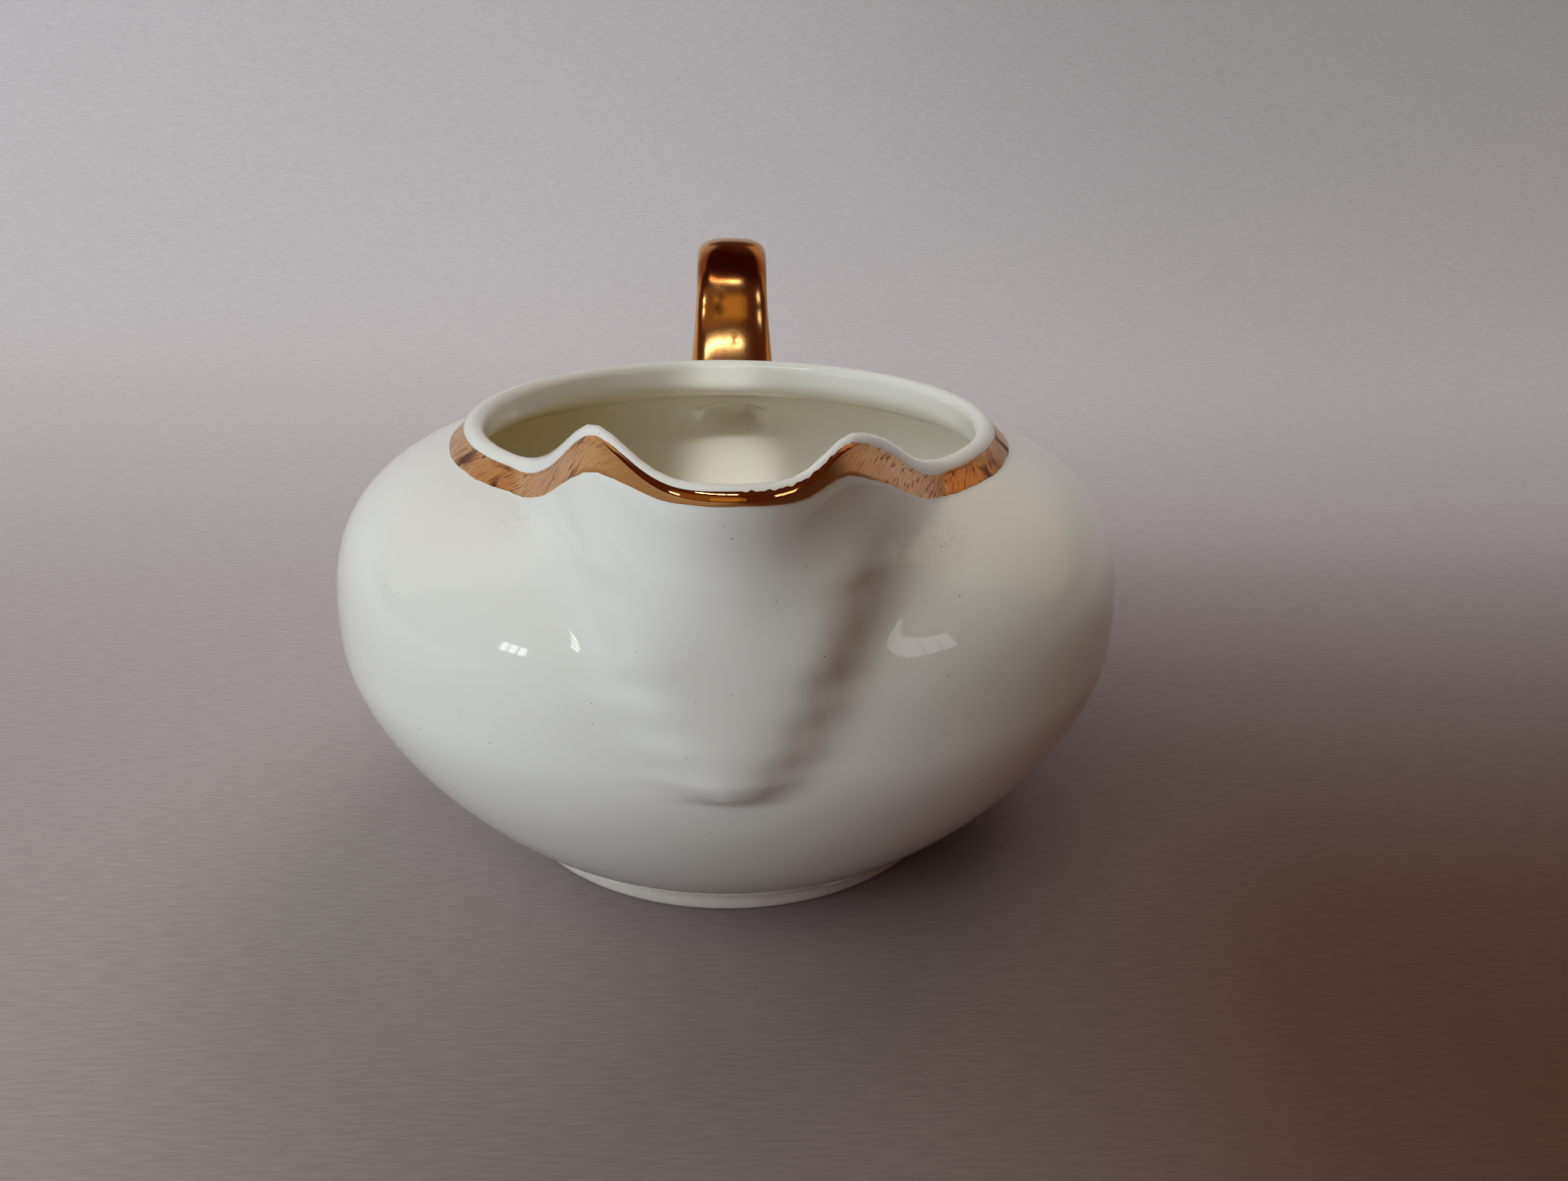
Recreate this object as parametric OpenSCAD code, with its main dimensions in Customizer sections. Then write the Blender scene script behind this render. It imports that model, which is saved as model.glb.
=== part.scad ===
// Porcelain cream jug: a squat round belly on a low foot ring, a short neck, a tongue-shaped
// pouring spout with two raised ears, a looped strap handle, and fired gold on rim and handle.
// Millimetres. The spout points along -Y, the handle along +Y, and the foot stands on Z = 0.

/* [Belly] */
// Diameter of the belly at its widest
belly_d = 100; // [97:0.5:103]
// Height of the widest ring above the table
belly_z = 30; // [29:0.5:31]
// Thickness of the porcelain wall
wall_t = 3; // [2.6:0.1:3.4]
// Thickness of the floor
floor_t = 3; // [2.6:0.1:4]

/* [Foot ring] */
// Outer diameter of the foot ring
foot_d = 60.6; // [58:0.2:61]
// Height of the foot ring
foot_h = 2; // [1.8:0.1:2.2]
// Width of the foot ring's standing face, before its edges are rounded
foot_w = 3.8; // [3:0.1:5]

/* [Neck and rim] */
// Outer diameter of the rim
rim_d = 66.8; // [66:0.2:68]
// Height of the rim's crest above the table, behind the spout
rim_z = 54.6; // [54.2:0.1:55.4]
// Thickness of the rim
rim_t = 2.6; // [2.2:0.1:3]

/* [Spout] */
// Reach of the lip in front of the jug's axis
lip_reach = 53.4; // [52.6:0.2:55]
// Height of the spout's lower tip
spout_tip_z = 27.6; // [27:0.2:29]
// Rise of the lip above the rim
lip_rise = 5.7; // [4:0.1:7]
// Extra rise of the two ears beside the lip
ear_rise = 3; // [1:0.1:4]
// Distance of each ear from the middle
ear_x = 12.2; // [11:0.1:13]

/* [Handle] */
// Width of the handle's strap at its crown
strap_w = 11.4; // [10:0.1:13]
// Thickness of the strap
strap_t = 6.2; // [5.4:0.1:7]

/* [Gilding] */
// Width of the gold band below the rim
band_w = 2.8; // [2:0.1:3.2]
// Thickness allowed for the fired gold
gold_t = 0.12; // [0.1:0.01:0.2]

/* [Hidden] */
$fn = 96;

porcelain = [0.93, 0.92, 0.87];
biscuit = [0.90, 0.87, 0.82];
gold = [0.85, 0.62, 0.28];

// The belly is two superellipse quarters that meet at the widest ring.
belly_r = belly_d / 2;
lower_depth = belly_z + 10;
lower_power = 1.62;
upper_depth = 24.3;
upper_power = 3.24;
inner_lower_depth = lower_depth - 5.5;

rim_r = rim_d / 2;
rim_round = rim_t / 2;
rim_mid_r = rim_r - rim_round;
neck_top_z = rim_z - rim_round;
neck_base_r = rim_r + 2;
neck_base_z = belly_z + upper_depth * pow(1 - pow(neck_base_r / belly_r, upper_power), 1 / upper_power);
throat_r = rim_r - rim_t;
floor_z = foot_h + floor_t;

function clamp01(t) = max(0, min(1, t));
function smooth(t) = let (c = clamp01(t)) c * c * (3 - 2 * c);
function mix(a, b, t) = a + (b - a) * t;
function quarter(r, depth, power, t) = r * pow(1 - pow(clamp01(t / depth), power), 1 / power);

// Outer and inner radius of the turned wall at height z.
function outer_r(z) =
    z > neck_top_z ? rim_mid_r + sqrt(max(0, rim_round ^ 2 - (z - neck_top_z) ^ 2))
    : z > neck_base_z ? mix(neck_base_r, rim_r, (z - neck_base_z) / (neck_top_z - neck_base_z))
    : z > belly_z ? quarter(belly_r, upper_depth, upper_power, z - belly_z)
    : quarter(belly_r, lower_depth, lower_power, belly_z - z);
function inner_r(z) =
    z > neck_top_z ? rim_mid_r - sqrt(max(0, rim_round ^ 2 - (z - neck_top_z) ^ 2))
    : z > belly_z ? max(throat_r, quarter(belly_r - wall_t, upper_depth - wall_t, upper_power, z - belly_z))
    : quarter(belly_r - wall_t, inner_lower_depth, lower_power, belly_z - z);

// Points of a superellipse quarter from angle a0 to angle a1, the depth counted up (s = 1) or down (s = -1).
function arc_pts(r, depth, power, a0, a1, n, s) =
    [for (i = [0:n]) let (a = mix(a0, a1, i / n))
        [r * pow(cos(a), 2 / power), belly_z + s * depth * pow(sin(a), 2 / power)]];
function angle_at_depth(depth, power, d) = asin(pow(d / depth, power / 2));
function angle_at_r(r, power, at) = acos(pow(at / r, power / 2));

arc_steps = 14;
wall_profile = concat(
    [[0, foot_h]],
    arc_pts(belly_r, lower_depth, lower_power, angle_at_depth(lower_depth, lower_power, belly_z - foot_h), 4,
        arc_steps, -1),
    arc_pts(belly_r, upper_depth, upper_power, 1, angle_at_r(belly_r, upper_power, neck_base_r), arc_steps, 1),
    [for (a = [0:22.5:180]) [rim_mid_r + rim_round * cos(a), neck_top_z + rim_round * sin(a)]],
    [[throat_r, neck_base_z - 0.6], [throat_r + 0.9, neck_base_z - 1.7]],
    arc_pts(belly_r - wall_t, upper_depth - wall_t, upper_power,
        angle_at_r(belly_r - wall_t, upper_power, throat_r + 2.6), 1, arc_steps, 1),
    arc_pts(belly_r - wall_t, inner_lower_depth, lower_power, 4,
        angle_at_depth(inner_lower_depth, lower_power, belly_z - floor_z - 1), arc_steps, -1),
    [[throat_r - 5, floor_z], [0, floor_z]]
);

// The spout covers a tongue of the front wall: half-width at height z, and reach of its front line.
spout_low_z = spout_tip_z - 1.6;
function tongue_t(z) = clamp01((z - spout_tip_z) / (neck_base_z - spout_tip_z));
function tongue_w(z) = 13.2 * sqrt(tongue_t(z)) + 8.8 * tongue_t(z) ^ 6;
function tongue_face(z) =
    z > neck_top_z ? lip_reach - rim_round + sqrt(max(0, rim_round ^ 2 - (z - neck_top_z) ^ 2))
    : belly_r + 1.5 * smooth((z - spout_tip_z) / 7) + (lip_reach - belly_r - 1.5) * clamp01((z - 48.5) / 4.8) ^ 2;
function tongue_power(z) = mix(5, 2.2, smooth((z - 38) / 16));
function tongue_blend(u, z) = (1 - clamp01(u) ^ tongue_power(z)) ^ 1.5;

// Rise of the rim line over the spout, at x from the middle.
function rim_rise(x) = let (a = abs(x), spread = a < ear_x ? 5 : 4)
    lip_rise * (1 - smooth((a - ear_x) / 11.5)) + ear_rise * exp(-((a - ear_x) / spread) ^ 2);

// Point of the spout's wall at x and turned height z: side 1 is the outside, side 0 the inside.
function wall_share(z) = z > neck_top_z ? sqrt(max(0, 1 - ((z - neck_top_z) / rim_round) ^ 2)) : 1;
function spout_pt(x, z, side) =
    let (
        r = side == 1 ? outer_r(z) : inner_r(z),
        top = wall_share(z),
        half = max(0.01, tongue_w(z) + (side == 1 ? 0 : -2.2 * top)),
        face = z > neck_top_z
            ? lip_reach - rim_round + (side == 1 ? 1 : -1) * rim_round * top
            : tongue_face(z) - (side == 1 ? 0 : mix(wall_t, rim_t, tongue_t(z))),
        y = sqrt(max(0, r * r - x * x)),
        relief = max(0, face - r) * tongue_blend(abs(x) / half, z)
    )
    [x, -(y + relief), z + rim_rise(x) * smooth((z - 44) / (neck_top_z - 44))];

// Rows of the spout's grid: heights of the turned wall, and half-width of the tongue cut at each.
tongue_rows = 15;
spout_z = concat(
    [for (i = [0:tongue_rows]) mix(spout_low_z, neck_base_z - 0.4, (i / tongue_rows) ^ 0.9)],
    [neck_base_z + 0.9, neck_top_z, neck_top_z + rim_round * sin(45), rim_z]
);
function cut_w(z) = let (t = clamp01((z - spout_low_z) / (neck_base_z - spout_low_z)))
    1.5 + 13.4 * sqrt(t) + 8.6 * t ^ 6;
spout_cols = 28;
function col_u(j) = 2 * j / spout_cols - 1;

module grid_solid(rows) {
    n = len(rows);
    m = len(rows[0]);
    points = [for (r = rows) each r];
    skin = [for (i = [0:n - 1], j = [0:m - 2]) let (k = (i + 1) % n)
        each [[i * m + j, k * m + j + 1, i * m + j + 1], [i * m + j, k * m + j, k * m + j + 1]]];
    half = n / 2;
    ends = [for (i = [0:half - 2]) let (k = i + 1, p = n - 1 - i, q = n - 2 - i)
        each [
            [i * m, q * m, k * m], [i * m, p * m, q * m],
            [i * m + m - 1, k * m + m - 1, q * m + m - 1], [i * m + m - 1, q * m + m - 1, p * m + m - 1]
        ]];
    polyhedron(points, concat(skin, ends), convexity = 8);
}

// Neighbouring rim rows: the crest is split by a hair so that the grid stays closed and simple.
crest_gap = 0.02;
function grid_row(z, side) = [for (j = [0:spout_cols])
    let (p = spout_pt(col_u(j) * cut_w(z), z, side)) z == rim_z ? p + [0, (side == 1 ? -crest_gap : crest_gap), 0] : p];

module spout_cutter() {
    side = [for (z = spout_z) [cut_w(z), z]];
    top = [[cut_w(rim_z), rim_z + 14], [-cut_w(rim_z), rim_z + 14]];
    rotate([90, 0, 0]) linear_extrude(70)
        polygon(concat(side, top, [for (i = [len(side) - 1:-1:0]) [-side[i][0], side[i][1]]]));
}

// The strap is a rounded section swept along four joined curves in the Y-Z plane. The place u along it
// runs from 0, inside the shoulder, to 4, inside the lower wall, and the curve's number is floor(u).
handle_curves = [
    [[42.2, 44.2], [46.4, 48.6], [50.6, 54], [51.4, 59.6]],
    [[51.4, 59.6], [52, 64.2], [55.4, 66.6], [59.4, 66.6]],
    [[59.4, 66.6], [65.4, 66.6], [69.2, 60.6], [68.8, 53.4]],
    [[68.8, 53.4], [68.2, 42.2], [58.2, 32.6], [45.4, 22.4]]
];
curve_steps = [9, 7, 8, 12];
function bezier(p, t) = (1 - t) ^ 3 * p[0] + 3 * (1 - t) ^ 2 * t * p[1] + 3 * (1 - t) * t ^ 2 * p[2] + t ^ 3 * p[3];
function bezier_dir(p, t) = let (d = 3 * (1 - t) ^ 2 * (p[1] - p[0]) + 6 * (1 - t) * t * (p[2] - p[1])
    + 3 * t ^ 2 * (p[3] - p[2])) d / norm(d);
function strap_half_w(u) = strap_w / 2 + 1.3 * (1 - smooth(u / 1.3)) - 0.7 * smooth((u - 2) / 2);

// Point i of the section at u, on the strap's skin grown outwards by grow.
section_sides = 20;
corner_power = 0.72;
function strap_pt(u, i, grow) =
    let (
        c = min(3, floor(u)),
        p = bezier(handle_curves[c], u - c),
        d = bezier_dir(handle_curves[c], u - c),
        a = i * 360 / section_sides,
        across = (strap_half_w(u) + grow) * sign(cos(a)) * pow(abs(cos(a)), corner_power),
        out = (strap_t / 2 + grow) * sign(sin(a)) * pow(abs(sin(a)), corner_power)
    )
    [across, p[0] - d[1] * out, p[1] + d[0] * out];
function strap_ring(u, grow) = [for (i = [0:section_sides - 1]) strap_pt(u, i, grow)];
strap_us = [for (c = [0:3], i = [(c == 0 ? 0 : 1):curve_steps[c]]) c + i / curve_steps[c]];

// Triangles between ring k and ring q of a sweep with m points a ring.
function ring_faces(k, q, m) = [for (i = [0:m - 1]) let (j = (i + 1) % m)
    each [[k * m + i, k * m + j, q * m + j], [k * m + i, q * m + j, q * m + i]]];

module strap() {
    n = len(strap_us);
    m = section_sides;
    ends = [[for (i = [m - 1:-1:0]) i], [for (i = [0:m - 1]) (n - 1) * m + i]];
    polyhedron([for (u = strap_us) each strap_ring(u, 0)],
        concat([for (k = [0:n - 2]) each ring_faces(k, k + 1, m)], ends), convexity = 6);
}

module turned_solid() {
    rotate_extrude() polygon(concat(
        [[0, foot_h]],
        arc_pts(belly_r, lower_depth, lower_power,
            angle_at_depth(lower_depth, lower_power, belly_z - foot_h), 4, arc_steps, -1),
        arc_pts(belly_r, upper_depth, upper_power, 1, angle_at_r(belly_r, upper_power, neck_base_r), arc_steps, 1),
        [[rim_r, neck_top_z], [rim_mid_r, rim_z], [0, rim_z]]
    ));
}

// Belly, floor, shoulder, neck and rim: one wall of even thickness, open where the spout stands.
// The dimple inside the back wall is where the slip closed over the handle's upper root.
module body_shell() {
    color(porcelain) difference() {
        rotate_extrude() polygon(wall_profile);
        spout_cutter();
        translate([0, 43, 44.4]) sphere(r = 4.6, $fn = 48);
    }
}

// The ring that the jug stands on, with its glaze wiped off the rounded lower edge.
module foot_ring() {
    round = 0.7;
    outer = foot_d / 2;
    inner = outer - foot_w;
    color(biscuit) rotate_extrude() polygon(concat(
        [[outer - 0.25, foot_h]],
        [[inner, foot_h]],
        [for (a = [180:30:270]) [inner + round + round * cos(a), round + round * sin(a)]],
        [for (a = [270:30:360]) [outer - round + round * cos(a), round + round * sin(a)]]
    ));
}

module spout() {
    color(porcelain) grid_solid(concat(
        [for (z = spout_z) grid_row(z, 1)],
        [for (i = [len(spout_z) - 1:-1:0]) grid_row(spout_z[i], 0)]
    ));
}

module handle() {
    color(porcelain) difference() {
        strap();
        turned_solid();
    }
}

// The gilding ends where the strap meets the belly: the place u, between one inside the wall and one
// clear of it, at which point i of the section passes through the belly's skin.
function clear_of_belly(p) = norm([p[0], p[1]]) > outer_r(p[2]);
function root_u(i, grow, inside, clear, n = 16) = n == 0 ? clear
    : let (u = (inside + clear) / 2)
    clear_of_belly(strap_pt(u, i, grow)) ? root_u(i, grow, inside, u, n - 1) : root_u(i, grow, u, clear, n - 1);
clear_us = [for (u = strap_us) if (min([for (p = strap_ring(u, gold_t)) clear_of_belly(p) ? 1 : 0]) == 1) u];
first_clear = min(clear_us);
last_clear = max(clear_us);
function root_ring(inside, clear, share, grow) = [for (i = [0:section_sides - 1])
    strap_pt(mix(clear, root_u(i, grow, inside, clear), share), i, grow)];
root_shares = [1 / 3, 2 / 3, 1];
function gilding_rings(grow) = concat(
    [for (k = [2:-1:0]) root_ring(0, first_clear, root_shares[k], grow)],
    [for (u = clear_us) strap_ring(u, grow)],
    [for (share = root_shares) root_ring(4, last_clear, share, grow)]
);

module handle_gilding() {
    outer = gilding_rings(gold_t);
    inner = gilding_rings(0);
    rings = concat(outer, [for (k = [len(inner) - 1:-1:0]) inner[k]]);
    n = len(rings);
    color(gold) polyhedron([for (r = rings) each r],
        [for (k = [0:n - 1]) each ring_faces(k, (k + 1) % n, section_sides)], convexity = 6);
}

// The gold band lies on the outside of the neck and of the spout's lip, all the way round.
function skin_pt(turn, z) = let (x = outer_r(z) * sin(turn), p = spout_pt(x, z, 1))
    cos(turn) > 0 ? p : [x, outer_r(z) * -cos(turn), z];
function skin_normal(turn, z) = let (
        e = 0.2,
        across = skin_pt(turn + e, z) - skin_pt(turn - e, z),
        up = skin_pt(turn, z + e) - skin_pt(turn, z - e),
        n = cross(up, across)
    ) n / norm(n);
band_top_z = neck_top_z + 0.3;
band_rows = 4;
band_drop = band_w * (neck_top_z - neck_base_z) / norm([neck_base_r - rim_r, neck_top_z - neck_base_z]);
band_turns = concat([for (a = [-52:2:52]) a], [for (a = [57:5.25:303]) a]);
module rim_gilding() {
    rows = concat(
        [for (i = [0:band_rows - 1]) [for (a = band_turns)
            let (z = band_top_z - band_drop * i / (band_rows - 1)) skin_pt(a, z) + gold_t * skin_normal(a, z)]],
        [for (i = [band_rows - 1:-1:0]) [for (a = band_turns) skin_pt(a, band_top_z - band_drop * i / (band_rows - 1))]]
    );
    n = len(rows);
    m = len(band_turns);
    faces = [for (i = [0:n - 1], j = [0:m - 1]) let (k = (i + 1) % n, q = (j + 1) % m)
        each [[i * m + j, k * m + q, i * m + q], [i * m + j, k * m + j, k * m + q]]];
    color(gold) polyhedron([for (r = rows) each r], faces, convexity = 8);
}

body_shell();
foot_ring();
spout();
handle();
handle_gilding();
rim_gilding();
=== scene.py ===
"""A porcelain cream jug with a tongue spout, a gilt strap handle and a gilt neck band."""
import math

import bpy
import numpy as np
from mathutils import Matrix, Vector


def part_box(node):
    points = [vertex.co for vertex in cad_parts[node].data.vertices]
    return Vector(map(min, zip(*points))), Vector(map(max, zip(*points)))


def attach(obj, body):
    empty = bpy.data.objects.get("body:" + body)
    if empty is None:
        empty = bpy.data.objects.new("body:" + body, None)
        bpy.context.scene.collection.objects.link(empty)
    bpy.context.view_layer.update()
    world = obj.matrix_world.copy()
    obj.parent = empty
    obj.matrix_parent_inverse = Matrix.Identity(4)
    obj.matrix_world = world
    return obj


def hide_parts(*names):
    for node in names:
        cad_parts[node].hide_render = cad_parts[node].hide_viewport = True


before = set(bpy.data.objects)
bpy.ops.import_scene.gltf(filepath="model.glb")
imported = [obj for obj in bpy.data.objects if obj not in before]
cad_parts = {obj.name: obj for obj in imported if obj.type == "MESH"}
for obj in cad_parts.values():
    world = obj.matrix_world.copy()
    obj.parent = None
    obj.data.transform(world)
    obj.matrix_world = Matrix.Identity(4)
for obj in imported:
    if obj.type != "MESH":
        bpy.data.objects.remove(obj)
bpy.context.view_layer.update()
MM = 0.001


# ---- Camera -------------------------------------------------------------------------------------
# A phone's wide lens held a hand's breadth in front of the spout and a little above the rim. It looks
# down on the jug, is turned slightly to the right, and is not held quite level.
lens_mm, film_mm = 27.03, 36.0
eye = Vector((0, -148.0, 90.8)) * MM
look_down, look_right, tilt = math.radians(22.4), math.radians(2.75), math.radians(1.09)

camera_data = bpy.data.cameras.new("camera")
camera_data.lens, camera_data.sensor_width = lens_mm, film_mm
camera_data.clip_start, camera_data.clip_end = 0.005, 20.0
camera = bpy.data.objects.new("camera", camera_data)
bpy.context.collection.objects.link(camera)
camera.matrix_world = (
    Matrix.Translation(eye)
    @ Matrix.Rotation(-look_right, 4, "Z")
    @ Matrix.Rotation(math.pi / 2 - look_down, 4, "X")
    @ Matrix.Rotation(tilt, 4, "Z")
)
bpy.context.scene.camera = camera


# ---- Porcelain wall -----------------------------------------------------------------------------
# Belly, shoulder, neck, rim and spout are one slip casting of cream porcelain under a clear glaze. Its
# round form is turned first, and the spout and the dent behind the handle are then pressed into it.
wall_lo, wall_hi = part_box("body_shell")
foot_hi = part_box("foot_ring")[1]
lip_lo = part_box("spout")[0]

belly_r = (wall_hi.x - wall_lo.x) / 2 / MM
foot_h = foot_hi.z / MM
rim_z = wall_hi.z / MM
lip_reach = -lip_lo.y / MM
belly_z = 30.0
tip_z = 27.2
wall_t, floor_t, rim_t = 3.0, 3.0, 2.6
lower_depth, lower_power = belly_z + 10, 1.62
upper_depth, upper_power = 24.3, 3.24
floor_rise = 5.5
inner_lower_depth = lower_depth - floor_rise
rim_r, neck_flare = 33.4, 2.0
rim_round = rim_t / 2
rim_mid_r = rim_r - rim_round
neck_top_z = rim_z - rim_round
neck_base_r = rim_r + neck_flare
throat_r = rim_r - rim_t
neck_base_z = belly_z + upper_depth * (1 - (neck_base_r / belly_r) ** upper_power) ** (1 / upper_power)
floor_z = foot_h + floor_t


def clamp01(t):
    return np.clip(t, 0, 1)


def smooth(t):
    c = clamp01(t)
    return c * c * (3 - 2 * c)


def mix(a, b, t):
    return a + (b - a) * t


def quarter(r, depth, power, t):
    """Radius of a superellipse quarter at the depth t from its widest ring."""
    return r * (1 - clamp01(t / depth) ** power) ** (1 / power)


def outer_r(z):
    z = np.asarray(z, float)
    above = np.sqrt(np.maximum(0, rim_round**2 - (z - neck_top_z) ** 2))
    neck = mix(neck_base_r, rim_r, (z - neck_base_z) / (neck_top_z - neck_base_z))
    belly = np.where(
        z > belly_z,
        quarter(belly_r, upper_depth, upper_power, z - belly_z),
        quarter(belly_r, lower_depth, lower_power, belly_z - z),
    )
    return np.where(z > neck_top_z, rim_mid_r + above, np.where(z > neck_base_z, neck, belly))


def even_steps(points, step):
    """The same outline with its points a fixed step apart, the way a profile is drawn for turning."""
    points = np.array(points, float)
    run = np.concatenate([[0], np.cumsum(np.hypot(*np.diff(points, axis=0).T))])
    at = np.linspace(0, run[-1], max(2, round(run[-1] / step) + 1))
    return np.column_stack([np.interp(at, run, points[:, 0]), np.interp(at, run, points[:, 1])])


def softened(points, reach):
    """An even outline with its corners worn round: each point is the mean of its neighbours."""
    kernel = np.hanning(2 * reach + 3)[1:-1]
    kernel /= kernel.sum()
    out = points.copy()
    for k in (0, 1):
        # the ends are mirrored through themselves, so that both end points stay put
        col = points[:, k]
        before = 2 * col[0] - col[reach:0:-1]
        after = 2 * col[-1] - col[-2 : -reach - 2 : -1]
        padded = np.concatenate([before, col, after])
        out[:, k] = np.convolve(padded, kernel, "valid")
    return out


def deselect():
    bpy.ops.object.select_all(action="DESELECT")


weld_gap = 2e-6


def turned(name, profile, sectors):
    """A profile drawn as a chain of edges from a single point, then spun about the upright axis.

    profile is in millimetres, radius and height; sectors are (steps, degrees) and start at -Y less half
    of the first sector, so that the first sector is centred on the spout.
    """
    deselect()
    start = math.radians(-90 - sectors[0][1] / 2)
    along = Vector((math.cos(start), math.sin(start), 0))
    places = [along * (r * MM) + Vector((0, 0, z * MM)) for r, z in profile]
    bpy.ops.mesh.primitive_plane_add(size=MM, location=places[0])
    piece = bpy.context.object
    piece.name = name
    bpy.ops.object.transform_apply(location=True, rotation=False, scale=False)
    bpy.ops.object.mode_set(mode="EDIT")
    bpy.ops.mesh.merge(type="CENTER")
    for here, there in zip(places, places[1:]):
        bpy.ops.mesh.extrude_region_move(TRANSFORM_OT_translate={"value": there - here})
    bpy.ops.mesh.select_all(action="SELECT")
    for steps, degrees in sectors:
        bpy.ops.mesh.spin(steps=steps, angle=math.radians(degrees), center=(0, 0, 0), axis=(0, 0, 1))
    bpy.ops.mesh.select_all(action="SELECT")
    bpy.ops.mesh.remove_doubles(threshold=weld_gap)
    bpy.ops.mesh.normals_make_consistent(inside=False)
    bpy.ops.object.mode_set(mode="OBJECT")
    return piece


def points_of(piece):
    co = np.empty(3 * len(piece.data.vertices))
    piece.data.vertices.foreach_get("co", co)
    return co.reshape(-1, 3) / MM


def set_points(piece, points):
    piece.data.vertices.foreach_set("co", (points * MM).ravel())
    piece.data.update()


# the wall's profile runs from the middle of the underside, up the outside, over the rim and down inside
lower_outside = [(quarter(belly_r, lower_depth, lower_power, belly_z - z), z)
                 for z in np.linspace(foot_h, belly_z, 200)]
upper_outside = [(quarter(belly_r, upper_depth, upper_power, z - belly_z), z)
                 for z in belly_z + (neck_base_z - belly_z) * np.sin(np.linspace(0, math.pi / 2, 200))]
outside = softened(even_steps(lower_outside + upper_outside[1:], 0.35), 9)
crest = [(rim_mid_r + rim_round * math.cos(a), neck_top_z + rim_round * math.sin(a))
         for a in np.linspace(0, math.pi, 15)]
inner_r, inner_upper_depth = belly_r - wall_t, upper_depth - wall_t
under_throat = 1 - ((throat_r + rim_t) / inner_r) ** upper_power
under_throat_z = belly_z + inner_upper_depth * under_throat ** (1 / upper_power)
upper_inside = [(quarter(inner_r, inner_upper_depth, upper_power, z - belly_z), z)
                for z in belly_z + (under_throat_z - belly_z) * np.sin(np.linspace(math.pi / 2, 0, 200))]
lower_inside = [(quarter(inner_r, inner_lower_depth, lower_power, belly_z - z), z)
                for z in np.linspace(belly_z, floor_z + 1, 200)]
throat = [(throat_r, neck_top_z), (throat_r, neck_base_z - 0.6), (throat_r + 0.9, neck_base_z - 1.7)]
basin = [(throat_r - 5, floor_z), (0, floor_z)]
inside = softened(even_steps(throat + upper_inside + lower_inside[1:] + basin, 0.45), 4)


def thinned(points, gap, low, high):
    """Fewer rows where the wall is plain: all of them from low to high, and elsewhere one in gap."""
    kept = (points[:, 1] > low) & (points[:, 1] < high)
    kept[::gap] = True
    kept[-1] = True
    return points[kept]


outside = thinned(outside, 2, tip_z - 2, tip_z + 4)
inside = thinned(inside, 3, 38.0, 60.0)
collar = even_steps([tuple(outside[-1]), (rim_r, neck_top_z)], 0.3)
underside = even_steps([(0, foot_h), tuple(outside[0])], 4.0)
wall_profile = np.concatenate([underside[:-1], outside[:-1], collar[:-1], crest, inside[1:]])

# fine columns through the spout and through the dent behind the handle, and coarser ones between
wall = turned("porcelain_wall", wall_profile, [(290, 110), (38, 102), (50, 46), (38, 102)])

# The spout: how high its lip and ears rise, where its face turns out to the lip, and where it widens.
lip_rise, ear_rise, ear_x = 5.7, 3.0, 12.2
tongue_step, flare_z, lift_z, bend_z, spout_wall = 2.3, 43.5, 44.0, 48.6, 2.2
tip_spread, ear_spread, edge_soft, ear_edge_soft = 14.2, 9.8, 1.7, 8.6
ear_w, lip_fall, right_ear_pull, lip_middle_rise = 4.7, 11.5, 1.5, 0.65


def tongue_t(z):
    return clamp01((z - tip_z) / (neck_base_z - tip_z))


def tongue_w(z):
    """Half-width of the tongue: a rounded tip that widens quickly to the ears near the neck."""
    return tip_spread * np.sqrt(tongue_t(z)) + ear_spread * tongue_t(z) ** 6


def tongue_face(z):
    """Reach of the tongue's middle line: a step proud of the belly, then out to the lip."""
    step = tongue_step - 0.3 * (1 - smooth((z - tip_z) / 8))
    out = smooth((z - bend_z) / (neck_top_z - bend_z))
    return belly_r + step + (lip_reach - belly_r - tongue_step) * out


def tongue_blend(a, half, z):
    """Share of the relief at the distance a from the middle: a flat face, a shoulder, then the crease."""
    t = tongue_t(z)
    rise = np.maximum(z - tip_z, 0)
    from_edge = rise * np.maximum(0, 1 - (a / half) ** 2) / np.sqrt(1 + (2 * a * rise / half**2) ** 2)
    stepped = smooth(from_edge / (edge_soft + 0.3 * smooth(t * 3) + ear_edge_soft * t**6))
    flared = (1 - clamp01(a / half) ** 2.2) ** 1.72
    return mix(stepped, flared, smooth((z - flare_z) / 9.5))


def rim_rise(x):
    """How far the rim lifts at x. The right ear was pulled a little nearer to the middle."""
    a = np.abs(x) + np.where(x > 0, right_ear_pull * np.exp(-(((x - 11) / 4) ** 2)), 0)
    ears = ear_rise * np.exp(-(((a - ear_x) / ear_w) ** 2)) + lip_middle_rise * np.exp(-((x / 7) ** 2))
    return lip_rise * (1 - smooth((a - ear_x) / lip_fall)) + ears


def crest_share(z):
    """1 on the neck, falling to 0 on the line along the top of the rim."""
    return np.sqrt(clamp01(1 - np.maximum(0, (z - neck_top_z) / rim_round) ** 2))


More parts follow.
